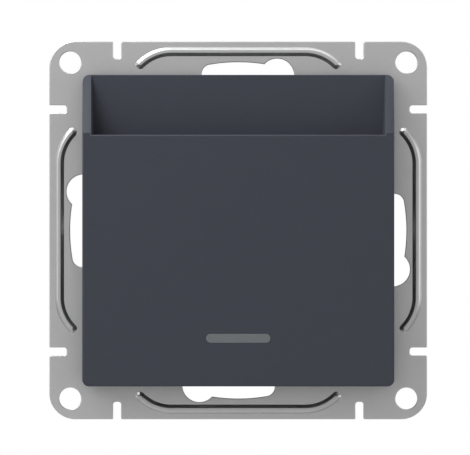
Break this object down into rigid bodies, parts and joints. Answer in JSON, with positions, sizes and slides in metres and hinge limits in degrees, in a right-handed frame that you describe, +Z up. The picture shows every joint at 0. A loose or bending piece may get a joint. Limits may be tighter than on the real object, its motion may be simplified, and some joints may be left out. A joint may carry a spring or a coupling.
{
  "type": "key card switch",
  "caption": "Flush-mounted card-operated wall switch: square steel plate, dark card pocket with a light window, and an insulated switch housing behind.",
  "frame": {"origin": "centre of the support plate's back face, midway between its four corner holes, on the wall plane", "axes": "+X to the viewer's right, +Y into the wall, +Z up"},
  "size_m": [0.0712, 0.04, 0.0712],
  "materials": {
    "zinc_steel": "zinc-plated sheet steel, satin",
    "anthracite": "fine matt moulded plastic",
    "window_grey": "smoky clear moulded plastic",
    "carrier_grey": "light grey moulded plastic",
    "lever_white": "white acetal",
    "housing_grey": "light grey moulded plastic",
    "switch_black": "black moulded plastic",
    "bright_steel": "bright zinc plating",
    "claw_steel": "yellow zinc plating",
    "brass": "bright brass strip",
    "board_green": "glass fibre board with solder mask",
    "lamp_clear": "clear resin",
    "resistor_body": "lacquered ceramic",
    "diode_body": "black moulded resin"
  },
  "bodies": {
    "root": {"mounting_plate": "zinc_steel", "front_cover": "anthracite", "cover_tray": "anthracite", "light_guide": "window_grey", "switch_carrier": "carrier_grey", "lever_pin": "bright_steel", "lever_spring": "bright_steel", "indicator_board": "board_green", "indicator_lamp": "lamp_clear", "series_resistor": "resistor_body", "blocking_diode": "diode_body", "board_pin_live": "brass", "board_pin_neutral": "brass", "rear_housing": "housing_grey", "carrier_screws": "bright_steel", "microswitch_case": "switch_black", "microswitch_lid": "carrier_grey", "switch_screws": "bright_steel", "common_tab": "brass", "rest_contact": "brass", "made_contact": "brass", "strip_live": "brass", "strip_load": "brass", "strip_neutral": "brass", "claw_pin_right": "bright_steel", "claw_pin_left": "bright_steel"},
    "lever": {"card_lever": "lever_white"},
    "plunger": {"microswitch_plunger": "lever_white"},
    "blade": {"contact_blade": "brass"},
    "terminal_screw_live": {"terminal_screw_live": "bright_steel"},
    "terminal_cage_live": {"terminal_cage_live": "claw_steel"},
    "terminal_screw_load": {"terminal_screw_load": "bright_steel"},
    "terminal_cage_load": {"terminal_cage_load": "claw_steel"},
    "terminal_screw_neutral": {"terminal_screw_neutral": "bright_steel"},
    "terminal_cage_neutral": {"terminal_cage_neutral": "claw_steel"},
    "claw_right": {"claw_right": "claw_steel"},
    "claw_nut_right": {"claw_nut_right": "claw_steel"},
    "claw_screw_right": {"claw_screw_right": "bright_steel"},
    "claw_left": {"claw_left": "claw_steel"},
    "claw_nut_left": {"claw_nut_left": "claw_steel"},
    "claw_screw_left": {"claw_screw_left": "bright_steel"}
  },
  "joints": [
    {"name": "plunger_slide", "type": "slide", "parent": "root", "child": "plunger", "axis": [0, 1, 0], "range_m": [0, 0.00144]},
    {"name": "lever_tilt", "type": "hinge", "parent": "root", "child": "lever", "pos_m": [0, -0.0042, -0.009], "axis": [1, 0, 0], "range_deg": [0, 20], "stiffness_Nm_per_rad": 0.004, "springref_deg": -20.05, "deforming": ["lever_spring"]},
    {"name": "blade_swing", "type": "hinge", "parent": "root", "child": "blade", "pos_m": [-0.0097, 0.00264, -0.0132], "axis": [0, 0, 1], "range_deg": [0, 9.87]},
    {"name": "cage_lift_live", "type": "slide", "parent": "root", "child": "terminal_cage_live", "axis": [0, 0, 1], "range_m": [0, 0.003]},
    {"name": "terminal_turn_live", "type": "hinge", "parent": "root", "child": "terminal_screw_live", "pos_m": [-0.012, 0.017, 0.018], "axis": [0, 0, -1], "range_deg": [0, 1800]},
    {"name": "cage_lift_load", "type": "slide", "parent": "root", "child": "terminal_cage_load", "axis": [0, 0, 1], "range_m": [0, 0.003]},
    {"name": "terminal_turn_load", "type": "hinge", "parent": "root", "child": "terminal_screw_load", "pos_m": [0, 0.017, 0.018], "axis": [0, 0, -1], "range_deg": [0, 1800]},
    {"name": "cage_lift_neutral", "type": "slide", "parent": "root", "child": "terminal_cage_neutral", "axis": [0, 0, 1], "range_m": [0, 0.003]},
    {"name": "terminal_turn_neutral", "type": "hinge", "parent": "root", "child": "terminal_screw_neutral", "pos_m": [0.012, 0.017, 0.018], "axis": [0, 0, -1], "range_deg": [0, 1800]},
    {"name": "claw_nut_slide_right", "type": "slide", "parent": "root", "child": "claw_nut_right", "axis": [0, -1, 0], "range_m": [0, 0.005]},
    {"name": "claw_screw_turn_right", "type": "hinge", "parent": "root", "child": "claw_screw_right", "pos_m": [0.0236, -0.0012, 0], "axis": [0, 1, 0], "range_deg": [0, 4000]},
    {"name": "claw_swing_right", "type": "hinge", "parent": "root", "child": "claw_right", "pos_m": [0.026, 0.0019, 0], "axis": [0, 0, -1], "range_deg": [0, 10]},
    {"name": "claw_nut_slide_left", "type": "slide", "parent": "root", "child": "claw_nut_left", "axis": [0, -1, 0], "range_m": [0, 0.005]},
    {"name": "claw_screw_turn_left", "type": "hinge", "parent": "root", "child": "claw_screw_left", "pos_m": [-0.0236, -0.0012, 0], "axis": [0, 1, 0], "range_deg": [0, 4000]},
    {"name": "claw_swing_left", "type": "hinge", "parent": "root", "child": "claw_left", "pos_m": [-0.026, 0.0019, 0], "axis": [0, 0, 1], "range_deg": [0, 10]}
  ],
  "couplings": [
    {"joint": "lever_tilt", "follows": "plunger_slide", "rad_per_m": 242.41},
    {"joint": "blade_swing", "follows": "plunger_slide", "rad_per_m": 119.63},
    {"joint": "terminal_turn_live", "follows": "cage_lift_live", "rad_per_m": 10472},
    {"joint": "terminal_turn_load", "follows": "cage_lift_load", "rad_per_m": 10472},
    {"joint": "terminal_turn_neutral", "follows": "cage_lift_neutral", "rad_per_m": 10472},
    {"joint": "claw_screw_turn_right", "follows": "claw_nut_slide_right", "rad_per_m": 13963},
    {"joint": "claw_swing_right", "follows": "claw_nut_slide_right", "rad_per_m": 34.906},
    {"joint": "claw_screw_turn_left", "follows": "claw_nut_slide_left", "rad_per_m": 13963},
    {"joint": "claw_swing_left", "follows": "claw_nut_slide_left", "rad_per_m": 34.906}
  ]
}
